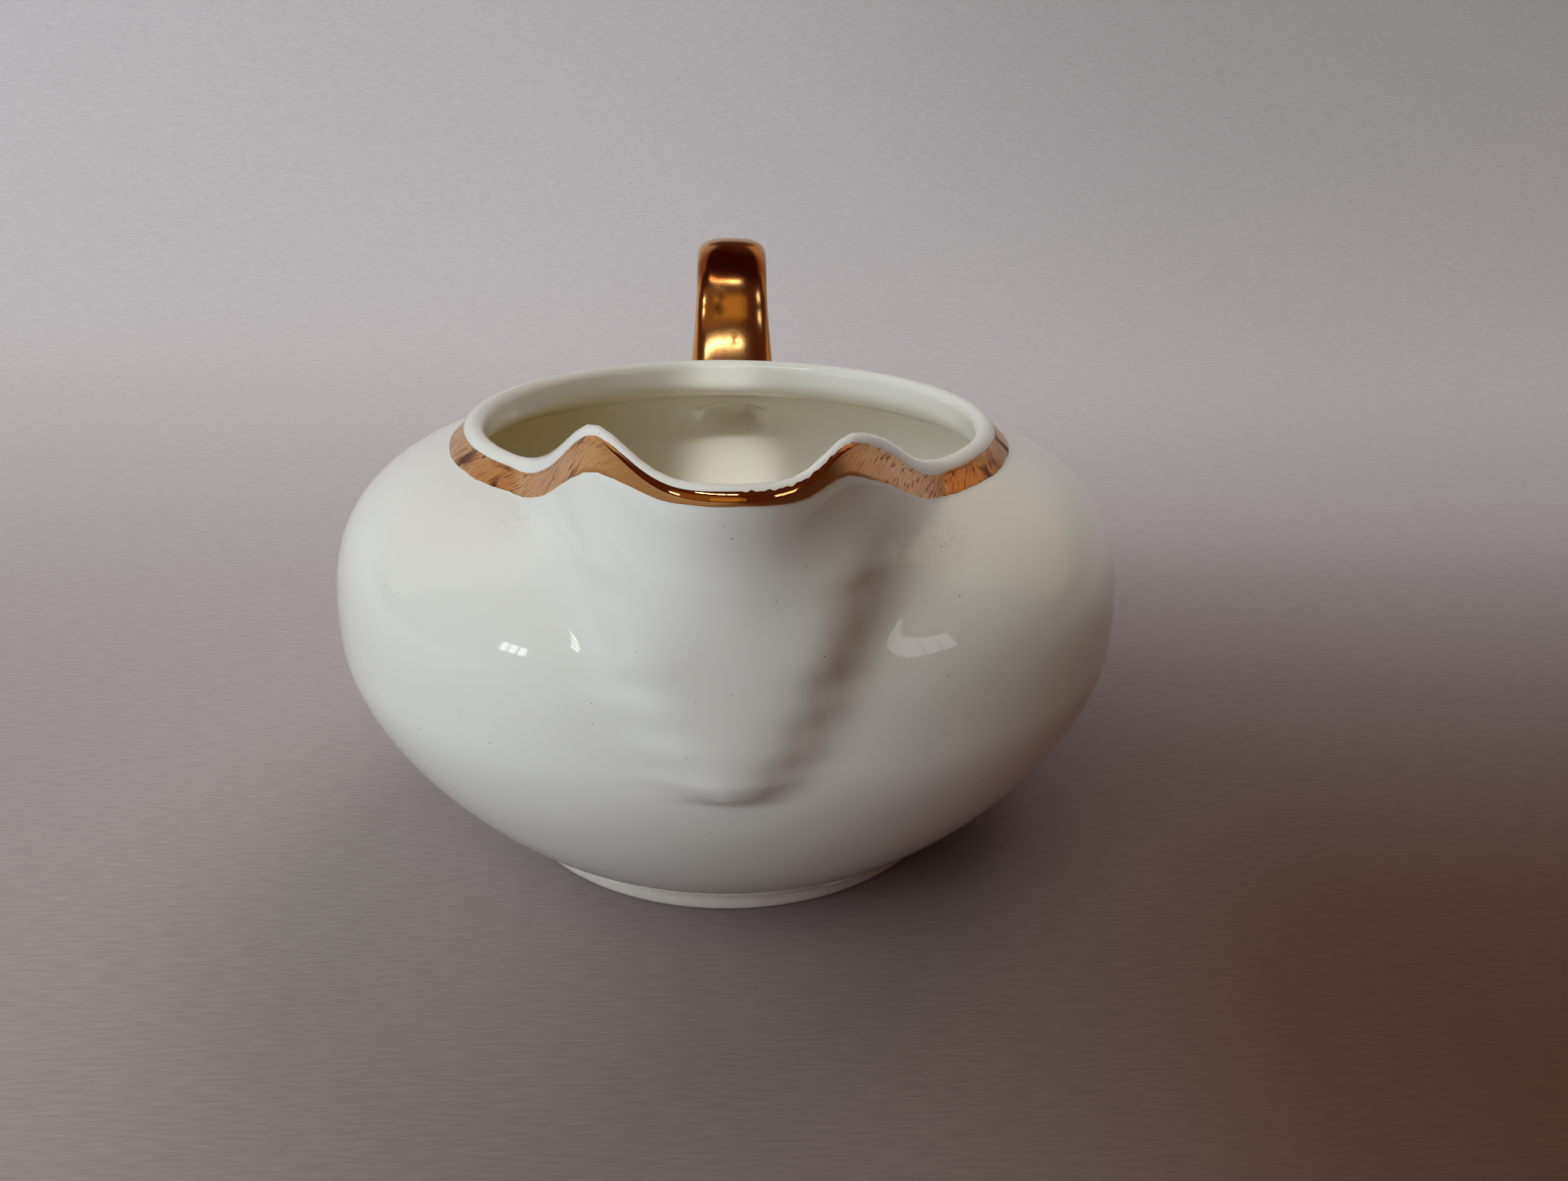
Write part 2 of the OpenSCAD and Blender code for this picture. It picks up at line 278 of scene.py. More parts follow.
def pressed(points, outer_side):
    """Where points of the turned wall go when the spout is pressed out of its front."""
    x, y, z = points.T
    r = np.hypot(x, y)
    share = crest_share(z)
    half = np.maximum(0.01, tongue_w(z) - np.where(outer_side, 0, spout_wall * share))
    on_crest = lip_reach - rim_round + np.where(outer_side, 1, -1) * rim_round * share
    on_face = tongue_face(z) - np.where(outer_side, 0, mix(wall_t, rim_t, tongue_t(z)))
    face = np.where(z > neck_top_z, on_crest, on_face)
    relief = np.maximum(0, face - r) * tongue_blend(np.abs(x), half, z)
    lift = rim_rise(x) * smooth((z - lift_z) / (neck_top_z - lift_z))
    front = (y < 0) & (z > tip_z - 3)
    return np.column_stack([x, np.where(front, y - relief, y), np.where(front, z + lift, z)])


points = points_of(wall)
ring_r = np.hypot(points[:, 0], points[:, 1])
skin_r = outer_r(points[:, 2])
wall_outer = ring_r > np.where(points[:, 2] > neck_top_z, rim_mid_r, skin_r - 1.2)
points = pressed(points, wall_outer)

# The dent where the slip closed over the handle's upper root, inside the back wall.
dent_at, dent_r, dent_deep = np.array([0, 44.0, 43.0]), 4.8, 2.2
dent_out, dent_up = np.array([0, 0.64, 0.77]), np.array([0, -0.77, 0.64])
# the dent's upper edge is marked, to be toned as the shade that lies there
from_dent = np.linalg.norm(points - dent_at, axis=1) / dent_r
up_dent = (points - dent_at) @ dent_up / dent_r
in_dent = (~wall_outer) * smooth((1 - from_dent) * 3.5)
dent_shade = (~wall_outer) * smooth((1.0 - from_dent) * 9) * smooth((up_dent - 0.35) / 0.25)
points += (dent_deep * in_dent)[:, None] * dent_out
set_points(wall, points)

# The belly's inside and the dent's upper edge are marked, so that painted shade can be put on the glaze
# there.
inside_share = (~wall_outer) * smooth((neck_base_z - points[:, 2]) / 2.0)
for mark_name, share in (("inner", inside_share), ("dent_shade", dent_shade)):
    mark = wall.data.attributes.new(mark_name, "FLOAT", "POINT")
    mark.data.foreach_set("value", share)

# The slip and the glaze leave a soft fillet in the crease round the spout.
bpy.ops.object.mode_set(mode="EDIT")
bpy.ops.mesh.select_all(action="DESELECT")
bpy.ops.object.mode_set(mode="OBJECT")
x, y, z = points.T
near_tongue = np.abs(x) < tongue_w(np.minimum(z, neck_base_z)) + 5
in_height = (z > tip_z - 3) & (z < neck_base_z - 1)
wall.data.vertices.foreach_set("select", (y < 0) & in_height & near_tongue & wall_outer)
bpy.ops.object.mode_set(mode="EDIT")
bpy.ops.mesh.vertices_smooth(factor=0.5, repeat=3)
bpy.ops.object.mode_set(mode="OBJECT")
bpy.ops.object.shade_smooth()


def material(name):
    """A new material, with its node tree and its shader."""
    made = bpy.data.materials.new(name)
    made.use_nodes = True
    return made, made.node_tree, made.node_tree.nodes["Principled BSDF"]


def node(tree, kind, inputs=None, **settings):
    """A node with its settings, and its inputs as values or as sockets to link from."""
    made = tree.nodes.new(kind)
    for key, value in settings.items():
        setattr(made, key, value)
    for key, value in (inputs or {}).items():
        if isinstance(value, bpy.types.NodeSocket):
            tree.links.new(value, made.inputs[key])
        else:
            made.inputs[key].default_value = value
    return made


def blend(tree, share, low, high):
    """A colour between low and high, each a colour or a socket, by the share."""
    made = tree.nodes.new("ShaderNodeMix")
    made.data_type = "RGBA"
    for key, value in ((0, share), (6, low), (7, high)):
        if isinstance(value, bpy.types.NodeSocket):
            tree.links.new(value, made.inputs[key])
        else:
            made.inputs[key].default_value = value
    return made.outputs[2]


def near(tree, place, centre, reach):
    """1 at a place on the jug, in millimetres, falling to 0 at the reach."""
    gap = node(tree, "ShaderNodeVectorMath", {0: place, 1: Vector(centre) * MM}, operation="DISTANCE")
    span = {"Value": gap.outputs["Value"], "From Min": reach * MM, "From Max": 0.0}
    return node(tree, "ShaderNodeMapRange", span, interpolation_type="SMOOTHSTEP").outputs["Result"]


def product(tree, *factors):
    """The product of numbers and sockets, as a socket."""
    out = factors[0]
    for factor in factors[1:]:
        out = node(tree, "ShaderNodeMath", {0: out, 1: factor}, operation="MULTIPLY").outputs[0]
    return out


def above(tree, value, limit):
    """1 where the value is over the limit, else 0."""
    return node(tree, "ShaderNodeMath", {0: value, 1: limit}, operation="GREATER_THAN").outputs[0]


def glazed_porcelain():
    """Ivory body under a clear gloss glaze: faint clouding, pinholes, a little dirt by the creases, and
    painted shade inside.
    """
    made, tree, shader = material("glazed_porcelain")
    place = node(tree, "ShaderNodeTexCoord").outputs["Object"]
    cloud = node(tree, "ShaderNodeTexNoise", {"Vector": place, "Scale": 28.0, "Detail": 3.0}).outputs["Fac"]
    body = node(tree, "ShaderNodeValToRGB", {"Fac": cloud})
    body.color_ramp.elements[0].position, body.color_ramp.elements[1].position = 0.3, 0.7
    body.color_ramp.elements[0].color = (0.815, 0.80, 0.72, 1)
    body.color_ramp.elements[1].color = (0.84, 0.83, 0.76, 1)

    # a painted shade, not the glaze's own colour: warmer inside to the left, brown at the dent's upper edge
    inner = node(tree, "ShaderNodeAttribute", attribute_name="inner").outputs["Fac"]
    side = node(tree, "ShaderNodeSeparateXYZ", {"Vector": place}).outputs["X"]
    leftward = node(tree, "ShaderNodeMapRange", {"Value": side, "From Min": -0.002, "From Max": -0.034},
                    interpolation_type="SMOOTHSTEP").outputs["Result"]
    warm_painted_shade = blend(tree, leftward, (0.87, 0.845, 0.755, 1), (0.58, 0.46, 0.18, 1))
    colour = blend(tree, product(tree, inner, 0.85), body.outputs["Color"], warm_painted_shade)
    # painted shade: the dent's upper edge is darkened to brown
    dent_painted_shade = node(tree, "ShaderNodeAttribute", attribute_name="dent_shade").outputs["Fac"]
    colour = blend(tree, dent_painted_shade, colour, (0.2, 0.13, 0.04, 1))

    # pinholes: a few cells of each size carry a dark dot, and more of them beside the spout's right crease
    beside = near(tree, place, (9.5, -50.2, 38.5), 4.5)
    for scale, size, rare in ((700.0, 0.075, 0.965), (1500.0, 0.11, 0.975)):
        cells = node(tree, "ShaderNodeTexVoronoi", {"Vector": place, "Scale": scale})
        gap = cells.outputs["Distance"]
        dot = node(tree, "ShaderNodeMath", {0: gap, 1: size}, operation="LESS_THAN").outputs[0]
        pick = node(tree, "ShaderNodeSeparateColor", {"Color": cells.outputs["Color"]}).outputs["Red"]
        crowd = node(tree, "ShaderNodeMath", {0: beside, 1: 0.16, 2: pick}, operation="MULTIPLY_ADD")
        pinhole = product(tree, dot, above(tree, crowd.outputs[0], rare), 0.8)
        colour = blend(tree, pinhole, colour, (0.20, 0.16, 0.12, 1))

    # faint grey smears, under both ends of the band and beside the spout
    smear = node(tree, "ShaderNodeTexNoise", {"Vector": place, "Scale": 1700.0, "Detail": 4.0})
    span = {"Value": smear.outputs["Fac"], "From Min": 0.5, "From Max": 0.75}
    patches = node(tree, "ShaderNodeMapRange", span)
    smeared_at = [((-22, -31, 51.5), 5, 0.25), ((21, -34, 50.5), 6, 0.3), ((9.5, -50, 37.5), 3, 0.3)]
    for centre, reach, strength in smeared_at:
        dirt = product(tree, near(tree, place, centre, reach), patches.outputs["Result"], strength)
        colour = blend(tree, dirt, colour, (0.33, 0.28, 0.24, 1))
    tree.links.new(colour, shader.inputs["Base Color"])

    # the glaze swells a little, and light spreads a little way into the body
    swell = node(tree, "ShaderNodeTexNoise", {"Vector": place, "Scale": 90.0, "Detail": 2.0}).outputs["Fac"]
    bump = node(tree, "ShaderNodeBump", {"Height": swell, "Strength": 0.08, "Distance": 0.0004})
    tree.links.new(bump.outputs["Normal"], shader.inputs["Normal"])
    shader.inputs["Roughness"].default_value = 0.05
    shader.inputs["IOR"].default_value = 1.52
    shader.inputs["Subsurface Weight"].default_value = 0.12
    shader.inputs["Subsurface Radius"].default_value = (1.0, 0.75, 0.5)
    shader.inputs["Subsurface Scale"].default_value = 0.0015
    return made


porcelain = glazed_porcelain()


def finished(piece, finish, *stands_for, slot):
    """Gives a piece its one material, fixes it to the jug, and hides the frame nodes it stands for."""
    piece.data.materials.clear()
    piece.data.materials.append(finish)
    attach(piece, "root")
    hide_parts(*stands_for)


finished(wall, porcelain, "body_shell", "spout", slot="glazed_porcelain")


# ---- Foot ring ----------------------------------------------------------------------------------
# The jug stands on a low ring of the same casting. It is glazed on its sides, and its standing edge is
# wiped bare before firing, so that it shows the satin body.
foot_r = foot_hi.x / MM
foot_w, foot_round, foot_sunk = 3.8, 0.7, 0.35
foot_inner_r = foot_r - foot_w


def edge_arc(centre_r, start, end, steps):
    """Points of a rounded edge of the ring's standing side, about its centre."""
    return [(centre_r + foot_round * math.cos(a), foot_round + foot_round * math.sin(a))
            for a in np.linspace(start, end, steps)]


foot_profile = [(foot_r - 0.9, foot_h + foot_sunk), (foot_r - 0.2, foot_h)]
foot_profile += edge_arc(foot_r - foot_round, 0.35, -math.pi / 2, 8)
foot_profile += edge_arc(foot_inner_r + foot_round, -math.pi / 2, -math.pi, 7)
foot_profile += [(foot_inner_r, foot_h), (foot_inner_r + 0.4, foot_h + foot_sunk), foot_profile[0]]
foot = turned("foot_ring_biscuit", foot_profile, [(180, 360)])
bpy.ops.object.shade_smooth()


def bare_porcelain():
    """Fired body without glaze: faintly gritty, and chalky where it rubs the table; its tone is partly its
    own and partly painted shade, darker and warmer.
    """
    made, tree, shader = material("bare_porcelain")
    place = node(tree, "ShaderNodeTexCoord").outputs["Object"]
    height = node(tree, "ShaderNodeSeparateXYZ", {"Vector": place}).outputs["Z"]
    grit = node(tree, "ShaderNodeTexNoise", {"Vector": place, "Scale": 900.0, "Detail": 4.0}).outputs["Fac"]
    span = {"Value": height, "From Min": 0.0002, "From Max": 0.0009, "To Min": 0.6, "To Max": 0.12}
    bare = node(tree, "ShaderNodeMapRange", span)
    tree.links.new(bare.outputs["Result"], shader.inputs["Roughness"])
    # partly painted shade: the bare body's tone is set darker and warmer, as the ring stands in shade
    tone = node(tree, "ShaderNodeValToRGB", {"Fac": grit})
    tone.color_ramp.elements[0].color = (0.60, 0.52, 0.44, 1)
    tone.color_ramp.elements[1].color = (0.72, 0.65, 0.57, 1)
    tree.links.new(tone.outputs["Color"], shader.inputs["Base Color"])
    bump = node(tree, "ShaderNodeBump", {"Height": grit, "Strength": 0.25, "Distance": 0.0001})
    tree.links.new(bump.outputs["Normal"], shader.inputs["Normal"])
    return made


finished(foot, bare_porcelain(), "foot_ring", slot="bare_porcelain")


# ---- Handle -------------------------------------------------------------------------------------
# A strap of porcelain, cast with the body, rises from the shoulder, loops over and joins the wall again
# low down. Slip fills the corner round both of its roots with a small fillet.
strap_w, strap_t, strap_squareness, root_spread = 11.4, 6.2, 0.72, 1.3
# the middle line, from the upper root to the lower one: four curves, each by its four control points
strap_curves = np.array([
    [[42.2, 44.2], [46.4, 48.6], [50.6, 54], [51.4, 59.6]],
    [[51.4, 59.6], [52, 64.2], [55.4, 66.6], [59.4, 66.6]],
    [[59.4, 66.6], [65.4, 66.6], [69.2, 60.6], [68.8, 53.4]],
    [[68.8, 53.4], [68.2, 42.2], [58.2, 32.6], [45.4, 22.4]],
])


def strap_points(u, angle, grow):
    """Points of the strap's skin, at the place u (0 to 4) along it and the angle round its section."""
    u, angle = np.broadcast_arrays(np.asarray(u, float), np.asarray(angle, float))
    c = np.minimum(3, np.floor(u)).astype(int)
    p, t = strap_curves[c], (u - c)[..., None]
    p0, p1, p2, p3 = (p[..., k, :] for k in range(4))
    s = 1 - t
    centre = s**3 * p0 + 3 * s**2 * t * p1 + 3 * s * t**2 * p2 + t**3 * p3
    along = s**2 * (p1 - p0) + 2 * s * t * (p2 - p1) + t**2 * (p3 - p2)
    along /= np.linalg.norm(along, axis=-1, keepdims=True)
    half_w = strap_w / 2 + root_spread * (1 - smooth(u / 1.3)) - 0.7 * smooth((u - 2) / 2) + grow
    half_t = strap_t / 2 + grow
    cos, sin = np.cos(angle), np.sin(angle)
    across = half_w * np.sign(cos) * np.abs(cos) ** strap_squareness
    out = half_t * np.sign(sin) * np.abs(sin) ** strap_squareness
    y, z = centre[..., 0] - along[..., 1] * out, centre[..., 1] + along[..., 0] * out
    return np.stack([across, y, z], -1)


def root_place(angle, inside, clear):
    """The place along the strap, for each angle, at which its skin passes through the belly's."""
    inside, clear = np.full(angle.shape, float(inside)), np.full(angle.shape, float(clear))
    halvings = 22
    for _ in range(halvings):
        middle = (inside + clear) / 2
        p = strap_points(middle, angle, 0.0)
        out = np.hypot(p[..., 0], p[..., 1]) > outer_r(p[..., 2])
        clear, inside = np.where(out, middle, clear), np.where(out, inside, middle)
    return clear


def sheet(name, cols, rows, place):
    """A flat grid laid out in columns and rows, then rolled up so that point (a, b) goes to place(a, b)."""
    deselect()
    bpy.ops.mesh.primitive_grid_add(x_subdivisions=cols, y_subdivisions=rows, size=2, location=(0, 0, 0))
    piece = bpy.context.object
    piece.name = name
    flat = np.empty(3 * len(piece.data.vertices))
    piece.data.vertices.foreach_get("co", flat)
    flat = flat.reshape(-1, 3)
    set_points(piece, place((flat[:, 0] + 1) / 2, (flat[:, 1] + 1) / 2))
    bpy.ops.object.mode_set(mode="EDIT")
    bpy.ops.mesh.select_all(action="SELECT")
    bpy.ops.mesh.remove_doubles(threshold=weld_gap)
    bpy.ops.mesh.normals_make_consistent(inside=False)
    bpy.ops.object.mode_set(mode="OBJECT")
    bpy.ops.object.shade_smooth()
    return piece


fillet_r, fillet_share, fillet_u, fillet_sink = 1.5, 1 / 12, 0.03, 0.05


def both_roots(angle):
    """The places along the strap at which its skin meets the shoulder and the belly low down."""
    return root_place(angle, 0.0, 1.0), root_place(angle, 4.0, 3.0)


def handle_place(a, b):
    """The porcelain strap: b runs along it, its first and last twelfth being the fillets at the roots."""
    angle = a * 2 * math.pi
    low, high = both_roots(angle)
    between = clamp01((b - fillet_share) / (1 - 2 * fillet_share))
    p = strap_points(mix(low + fillet_u, high - fillet_u, between), angle, 0.0)
    for end, root, sense in ((b < fillet_share, low, 1), (b > 1 - fillet_share, high, -1)):
        turn = (1 - (b if sense == 1 else 1 - b) / fillet_share) * math.pi / 2
        base = strap_points(root, angle, 0.0)
        ahead = strap_points(root + sense * fillet_u, angle, 0.0) - base
        lift = np.linalg.norm(ahead, axis=-1, keepdims=True)
        ahead /= lift
        away = base - base.mean(0)
        r = np.hypot(base[:, 0], base[:, 1])
        slope = (outer_r(base[:, 2] + 0.1) - outer_r(base[:, 2] - 0.1)) / 0.2
        normal = np.stack([base[:, 0] / r, base[:, 1] / r, -slope], -1)
        normal /= np.linalg.norm(normal, axis=-1, keepdims=True)
        away -= (away * normal).sum(-1, keepdims=True) * normal
        away /= np.maximum(1e-6, np.linalg.norm(away, axis=-1, keepdims=True))
        forward, outward = (1 - np.sin(turn))[:, None], (1 - np.cos(turn))[:, None]
        curve = base + ahead * lift * forward + away * fillet_r * outward
        skin = outer_r(curve[:, 2])
        reach = np.hypot(curve[:, 0], curve[:, 1])
        down = smooth((turn / (math.pi / 2) - 0.75) / 0.25)
        curve[:, :2] *= mix(1, (skin - fillet_sink) / reach, down)[:, None]
        p = np.where(end[:, None], curve, p)
    return p


handle = sheet("handle_porcelain", 48, 144, handle_place)
finished(handle, porcelain, "handle", slot="glazed_porcelain")


handle_gold_rise = 0.1


def gold_place(a, b):
    """The gold over the strap: it stops just short of both roots, with a slightly ragged edge."""
    angle = a * 2 * math.pi
    ragged = 0.012 * np.sin(3 * angle + 1) + 0.006 * np.sin(8 * angle)
    low, high = both_roots(angle)
    return strap_points(mix(low + 0.05 + ragged, high - 0.04 + ragged, b), angle, handle_gold_rise)


handle_gold = sheet("handle_gold", 64, 160, gold_place)


def fired_gold(name, size, rubbed, haze, bright_at, worn_at, painted_reflection_at=()):
    """Liquid bright gold fired over the glaze: a copper-red mirror with brush strokes, rubs and stains.

    size is the layer's two lengths in millimetres, rubbed how much of the polish is lost, haze how soft
    its mirror is, bright_at where it is still bright, worn_at where it is stained, and the last list where
    its tone is painted darker and redder, a painted dark reflection of a dim room; these are places with
    their reach.
    """
    made, tree, shader = material(name)
    place = node(tree, "ShaderNodeTexCoord").outputs["Object"]
    flat = node(tree, "ShaderNodeTexCoord").outputs["UV"]
    slant = {"Vector": flat, "Scale": (*size, 1), "Rotation": (0, 0, 0.85)}
    slanted = node(tree, "ShaderNodeMapping", slant)
    strokes = node(tree, "ShaderNodeMapping", {"Vector": slanted.outputs["Vector"], "Scale": (4.5, 0.5, 1)})
    brushed = {"Vector": strokes.outputs["Vector"], "Scale": 1.0, "Detail": 3.0, "Distortion": 0.6}
    lines = node(tree, "ShaderNodeTexNoise", brushed).outputs["Fac"]
    span = {"Value": lines, "From Min": 0.55, "From Max": 0.64}
    mark = node(tree, "ShaderNodeMapRange", span).outputs["Result"]
    blotch = node(tree, "ShaderNodeTexNoise", {"Vector": place, "Scale": 420.0, "Detail": 5.0})
    span = {"Value": blotch.outputs["Fac"], "From Min": 0.42, "From Max": 0.6}
    patches = node(tree, "ShaderNodeMapRange", span)
    patchy = patches.outputs["Result"]
    lost = rubbed
    for centre, reach in bright_at:
        span = {"Value": near(tree, place, centre, reach), "From Max": 0.4, "To Min": 1.0, "To Max": 0.0}
        kept = node(tree, "ShaderNodeMapRange", span)
        lost = product(tree, lost, kept.outputs["Result"])
    dull = product(tree, mark, lost)
    colour = blend(tree, product(tree, dull, 1.5), (0.86, 0.47, 0.17, 1), (0.44, 0.17, 0.06, 1))
    for centre, reach in worn_at:
        worn = product(tree, near(tree, place, centre, reach), patchy)
        colour = blend(tree, worn, colour, (0.16, 0.05, 0.02, 1))
        dull = node(tree, "ShaderNodeMath", {0: worn, 1: 0.4, 2: dull}, operation="MULTIPLY_ADD").outputs[0]
    # painted reflection: at these places the gold is painted darker and redder, as a dim room mirrored in
    # it
    for centre, reach in painted_reflection_at:
        span = {"Value": near(tree, place, centre, reach), "From Max": 0.6}
        painted_reflection = node(tree, "ShaderNodeMapRange", span)
        colour = blend(tree, product(tree, painted_reflection.outputs["Result"], 0.93), colour, (0.26, 0.06, 0.01, 1))
    tree.links.new(colour, shader.inputs["Base Color"])
    shader.inputs["Metallic"].default_value = 1.0
    polish = node(tree, "ShaderNodeMath", {0: product(tree, lost, 0.4), 1: dull}, operation="ADD")
    scaled = {0: polish.outputs[0], 1: 0.6, 2: haze}
    rough = node(tree, "ShaderNodeMath", scaled, operation="MULTIPLY_ADD")
    tree.links.new(rough.outputs[0], shader.inputs["Roughness"])
    bump = node(tree, "ShaderNodeBump", {"Height": lines, "Distance": 0.00006})
    tree.links.new(product(tree, lost, 0.9), bump.inputs["Strength"])
    tree.links.new(bump.outputs["Normal"], shader.inputs["Normal"])
    return made


handle_stains = [((-2.6, 48.6, 62.0), 2.4), ((-2.4, 48.2, 59.6), 1.8), ((0.0, 46.4, 55.6), 2.2)]
# painted reflection: the top of the handle is painted darker and redder, as the dim room it mirrors
handle_painted_reflection = [((-2.5, 51.5, 66.5), 6.5), ((2.5, 51.0, 66.5), 5.0)]
handle_finish = fired_gold("handle_gold", (34, 75), 0.08, 0.15, [], handle_stains, handle_painted_reflection)
finished(handle_gold, handle_finish, "handle_gilding", slot="fired_gold")


# ---- Neck gilding -------------------------------------------------------------------------------
# A band of the same gold is brushed round the outside of the neck and the lip. The crest of the rim
# stays white, and the band's edges wander a little.
gold_rise, gold_sunk, edge_round = 0.06, 0.12, 0.16


def skin_points(turn, z):
    """Points of the outside of the neck and lip at the turn from the spout and the turned height z."""
    x, y = outer_r(z) * np.sin(turn), -outer_r(z) * np.cos(turn)
    return pressed(np.column_stack([x, y, z]), np.ones(len(x), bool))


def band_place(a, b):
    """b runs round the band's section: up its outer face and back down its face against the glaze."""
    turn = (a * 2 - 1) * math.pi
    x = np.abs(outer_r(neck_top_z) * np.sin(turn))
    front = (np.cos(turn) > 0) * (1 - smooth((x - 9) / 10))
    wander = 0.05 * np.sin(5 * turn + 1) + 0.04 * np.sin(13 * turn) + 0.025 * np.sin(31 * turn + 2)
    brush = 0.04 * np.sin(9 * turn + 2) + 0.03 * np.sin(22 * turn) + 0.02 * np.sin(47 * turn)
    worn = front * (turn > 0.02) * (0.05 * np.sin(150 * turn) + 0.05 * np.sin(263 * turn + 1))
    top = neck_top_z + mix(0.55, 1.0, front) + wander * (1 - 0.5 * front) + worn
    low = mix(neck_base_z + 0.1, neck_top_z - 0.35, front * (1 - smooth((x - 3) / 10))) + brush
    v = 1 - np.abs(2 * b - 1)
    z = mix(low, top, v)
    across = skin_points(turn + 0.004, z) - skin_points(turn - 0.004, z)
    upward = skin_points(turn, z + 0.02) - skin_points(turn, z - 0.02)
    normal = np.cross(across, upward)
    normal /= np.linalg.norm(normal, axis=1, keepdims=True)
    rise = np.where(b < 0.5, gold_rise - edge_round * (2 * v - 1) ** 40, -gold_sunk)
    return skin_points(turn, z) + normal * rise[:, None]


band = sheet("neck_gold", 900, 28, band_place)
band_stains = [((-30.5, -15.5, 52.3), 3.5), ((-25.5, -23.5, 51.7), 2.2), ((29.5, -17.5, 52.6), 5.0),
               ((33.5, -8, 52.6), 4.0)]
lip_mirror = [((0, -53, 59.5), 20)]
band_finish = fired_gold("neck_gold", (213, 6.4), 0.6, 0.05, lip_mirror, band_stains)
finished(band, band_finish, "rim_gilding", slot="fired_gold")


# ---- Table, backdrop and light ------------------------------------------------------------------
# The jug stands on a pale cloth that runs up behind it in one sweep. Soft light comes from the upper
# left, and two windows beyond the spout give the glaze its small bright panes.
sweep_half_w, sweep_front, sweep_start, sweep_bend, sweep_top = 1400.0, -620.0, 260.0, 240.0, 320.0


def sweep_place(a, b):
    """The cloth: flat from its front to where it starts to bend up, then upright to its top."""
    x = (a * 2 - 1) * sweep_half_w
    flat_run, bend_run = sweep_start - sweep_front, sweep_bend * math.pi / 2
    run = b * (flat_run + bend_run + sweep_top - sweep_bend)
    flat = run < flat_run
    turn = np.clip((run - flat_run) / sweep_bend, 0, math.pi / 2)
    y = np.where(flat, sweep_front + run, sweep_start + sweep_bend * np.sin(turn))
    upright = np.maximum(0, run - flat_run - bend_run)
    z = np.where(flat, 0, sweep_bend * (1 - np.cos(turn)) + upright)
    return np.column_stack([x, y, z])


backdrop = sheet("backdrop", 40, 120, sweep_place)


def pale_cloth():
    """Ribbed cloth with painted light and shade: lighter up the wall and to the left, and a painted warm
    shade at the front right.
    """
    made, tree, shader = material("pale_cloth")
    place = node(tree, "ShaderNodeTexCoord").outputs["Object"]
    axes = node(tree, "ShaderNodeSeparateXYZ", {"Vector": place}).outputs

    def run(axis, start, end, low=0.0, high=1.0):
        """A soft change from low to high, between two places along an axis."""
        span = {"Value": axes[axis], "From Min": start, "From Max": end, "To Min": low, "To Max": high}
        return node(tree, "ShaderNodeMapRange", span, interpolation_type="SMOOTHSTEP").outputs["Result"]

    # painted light: the cloth is lighter towards the back and up the wall
    back = node(tree, "ShaderNodeValToRGB", {"Fac": run("Y", -0.08, 0.32)})
    back.color_ramp.elements[0].color = (0.40, 0.345, 0.335, 1)
    back.color_ramp.elements[1].color = (0.73, 0.69, 0.70, 1)
    # painted shade: a warm dark patch at the front right
    shade = product(tree, run("X", -0.085, 0.085), run("Y", 0.14, -0.06))
    tone = blend(tree, shade, back.outputs["Color"], (0.105, 0.048, 0.03, 1))
    weave = node(tree, "ShaderNodeMapping", {"Vector": place, "Scale": (300.0, 2600.0, 2600.0)})
    woven = {"Vector": weave.outputs["Vector"], "Scale": 1.0, "Detail": 1.0}
    thread = node(tree, "ShaderNodeTexNoise", woven).outputs["Fac"]
    span = {"Value": thread, "From Min": 0.3, "From Max": 0.7, "To Min": 0.91, "To Max": 1.07}
    rib = node(tree, "ShaderNodeMapRange", span).outputs["Result"]
    # painted shade: the cloth is darker towards the right
    dim = product(tree, rib, run("X", -0.1, 0.25, 1.0, 0.82))
    ribbed = node(tree, "ShaderNodeVectorMath", {0: tone, "Scale": dim}, operation="SCALE")
    tree.links.new(ribbed.outputs["Vector"], shader.inputs["Base Color"])
    shader.inputs["Roughness"].default_value = 0.9
    return made


backdrop.data.materials.append(pale_cloth())


lamps_aim = Vector((0, 0, 0.045))


def lamp(name, azimuth, elevation, distance, wide, high, power, colour=(1, 1, 1), kind="soft"):
    """An area light that faces the jug. Azimuth 0 is the spout's side, and 90 is the jug's +X side.

    A soft lamp lights the scene and isn't mirrored in the glaze; a pane is only mirrored.
    """
    a, e = math.radians(azimuth), math.radians(elevation)
    away = Vector((math.sin(a) * math.cos(e), -math.cos(a) * math.cos(e), math.sin(e)))
    data = bpy.data.lights.new(name, "AREA")
    data.shape, data.size, data.size_y = "RECTANGLE", wide, high
    data.energy, data.color = power, colour
    made = bpy.data.objects.new(name, data)
    bpy.context.collection.objects.link(made)
    made.location = lamps_aim + away * distance
    made.rotation_euler = away.to_track_quat("Z", "Y").to_euler()
    made.visible_camera = False
    made.visible_glossy = kind == "pane"
    made.visible_diffuse = kind == "soft"
    return made


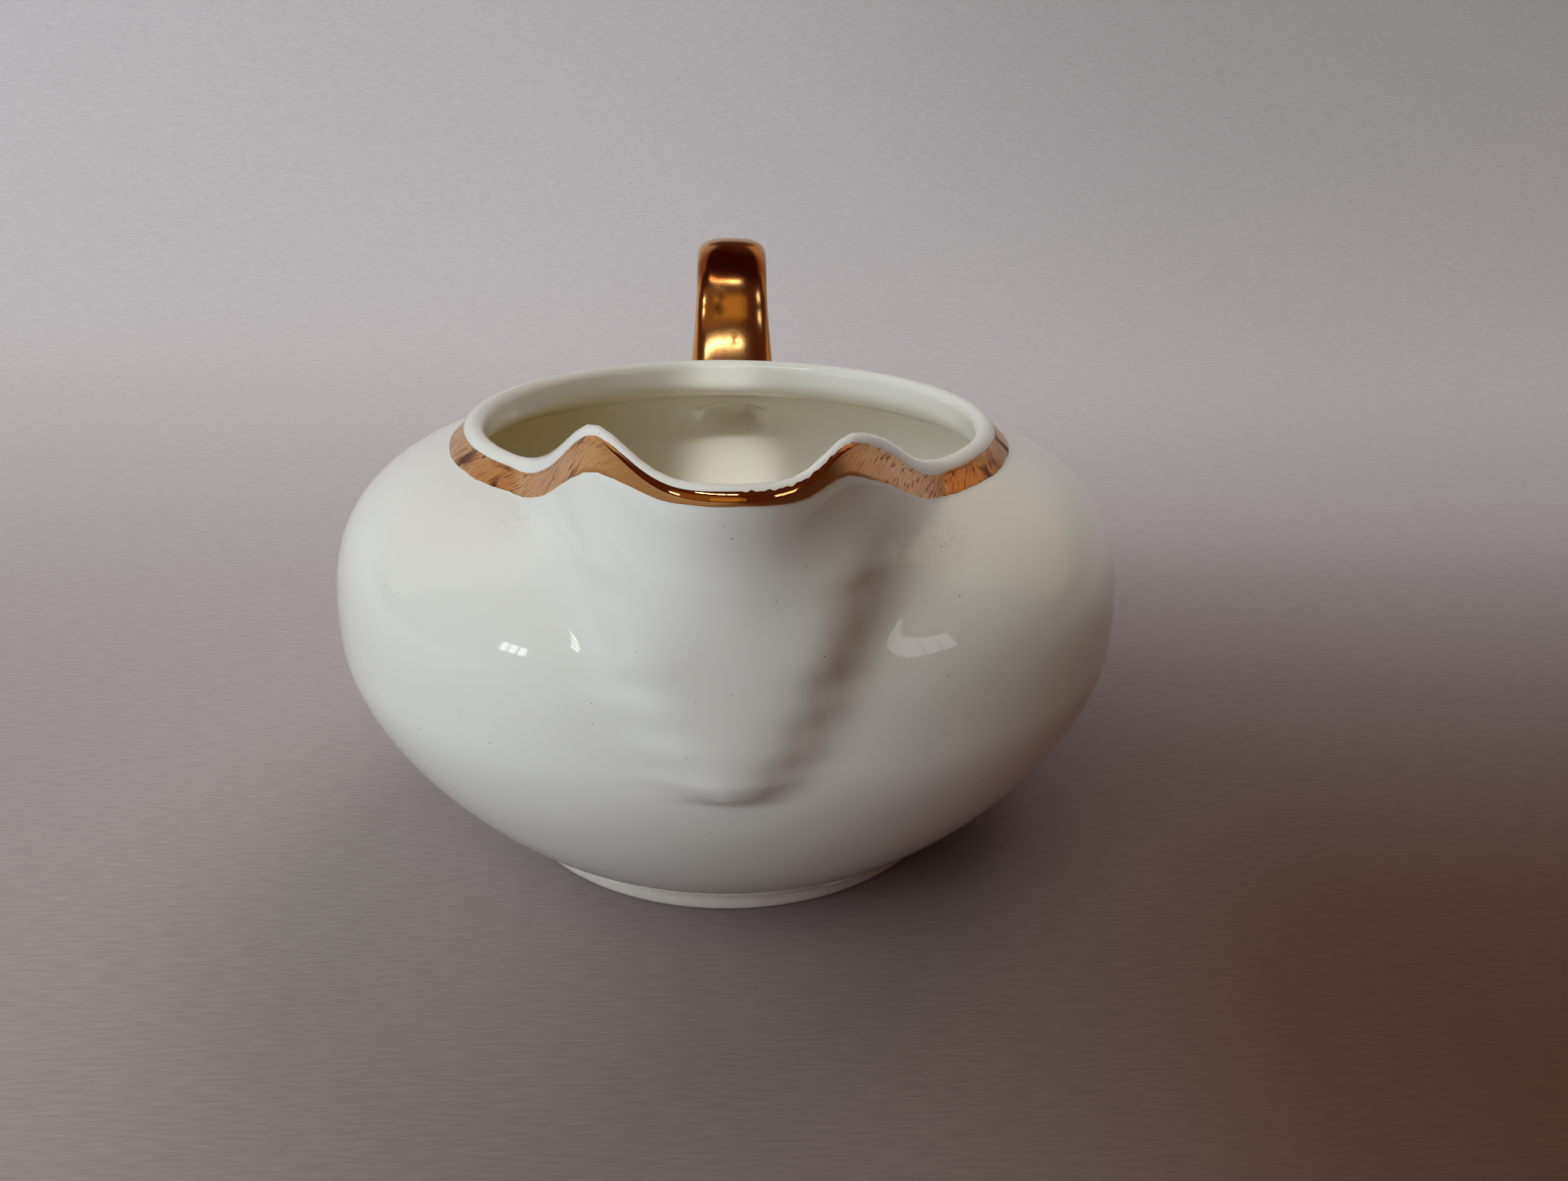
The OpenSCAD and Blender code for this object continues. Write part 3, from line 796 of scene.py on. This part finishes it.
# the soft lamps light the scene
lamp("window_light", -62, 16, 1.2, 0.9, 0.8, 7.9, (0.70, 0.86, 1.0))
lamp("high_left", -100, 35, 1.2, 0.9, 0.8, 1.0, (1.0, 0.8, 0.5))
lamp("roof_light", -25, 45, 1.2, 0.8, 0.8, 4.6, (0.95, 0.97, 1.0))
lamp("back_light", 150, 50, 1.2, 0.9, 0.7, 5.3, (0.93, 0.89, 1.0))
lamp("ceiling", 10, 75, 1.2, 0.9, 0.9, 1.0, (0.7, 1.0, 0.4))

# the panes are what the glaze and the gold mirror: two windows, panes overhead, and a warm room
for pane in range(3):
    lamp(f"left_pane_{pane}", -62.0 + pane * 2.8, 12.5, 1.5, 0.056, 0.15, 0.2, kind="pane")
    lamp(f"right_pane_{pane}", 50 + pane * 5.2, 19 - pane * 0.6, 1.5, 0.12, 0.3, 0.2, kind="pane")
for pane in range(4):
    lamp(f"roof_pane_{pane}", -44 + pane * 15, 49, 1.5, 0.22, 0.11, 0.8, (1.0, 0.98, 0.93), kind="pane")
lamp("left_wall", -128, 32, 1.5, 1.7, 1.3, 2.9, (1.0, 0.86, 0.82), kind="pane")
lamp("right_wall", 128, 32, 1.5, 1.7, 1.3, 2.3, (1.0, 0.64, 0.42), kind="pane")
lamp("room_wide", -27, 17, 1.6, 2.1, 1.0, 0.9, (1.0, 0.58, 0.17), kind="pane")
lamp("room_front", -4, 13, 1.5, 1.0, 0.6, 0.4, (1.0, 0.66, 0.2), kind="pane")

# a narrow spot stands in for the window light that reaches the back wall through the mouth
beam = bpy.data.lights.new("mouth_light", "SPOT")
beam.energy, beam.shadow_soft_size = 0.42, 0.003
beam.spot_size, beam.spot_blend = math.radians(9), 1.0
mouth_light = bpy.data.objects.new("mouth_light", beam)
bpy.context.collection.objects.link(mouth_light)
beam_from, beam_to = Vector((-10, -60, 120)) * MM, Vector((0, 44, 33.5)) * MM
mouth_light.location = beam_from
mouth_light.rotation_euler = (beam_from - beam_to).to_track_quat("Z", "Y").to_euler()
mouth_light.visible_camera = False
mouth_light.visible_glossy = False

world = bpy.data.worlds.new("room")
world.use_nodes = True
surround = world.node_tree.nodes["Background"]
surround.inputs["Color"].default_value = (0.065, 0.02, 0.012, 1)
surround.inputs["Strength"].default_value = 1.0
bpy.context.scene.world = world
bpy.context.scene.view_settings.view_transform = "Standard"
bpy.context.scene.cycles.diffuse_bounces = 7
